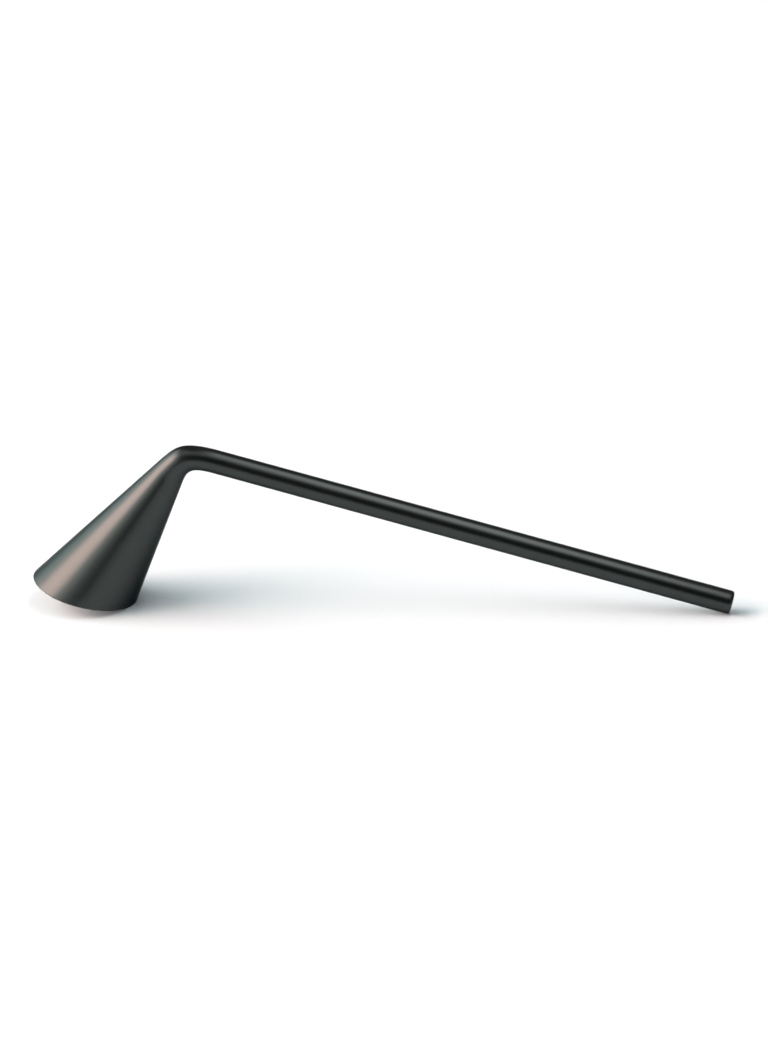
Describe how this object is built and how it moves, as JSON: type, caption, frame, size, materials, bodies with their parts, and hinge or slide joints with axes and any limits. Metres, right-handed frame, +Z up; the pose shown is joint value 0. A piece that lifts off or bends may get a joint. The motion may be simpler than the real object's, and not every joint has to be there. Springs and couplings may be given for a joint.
{
  "type": "candle snuffer",
  "caption": "Candle snuffer: a thin conical bell on a flowing elbow and a long straight round handle, to lower over a candle's flame.",
  "frame": {"origin": "middle of the underside of the bounding box, with the snuffer lying at rest: the back of the bell's rim and the underside of the handle's free end stand on Z = 0", "axes": "+X along the snuffer from the bell towards the handle's free end, +Z up, Y across; the snuffer is symmetric about Y = 0"},
  "size_m": [0.2388, 0.034, 0.0572],
  "materials": {
    "black_steel": "satin",
    "black_casting": "satin"
  },
  "bodies": {
    "root": {"bell": "black_steel", "elbow": "black_casting", "handle_tube": "black_steel", "end_plug": "black_steel"}
  },
  "joints": []
}
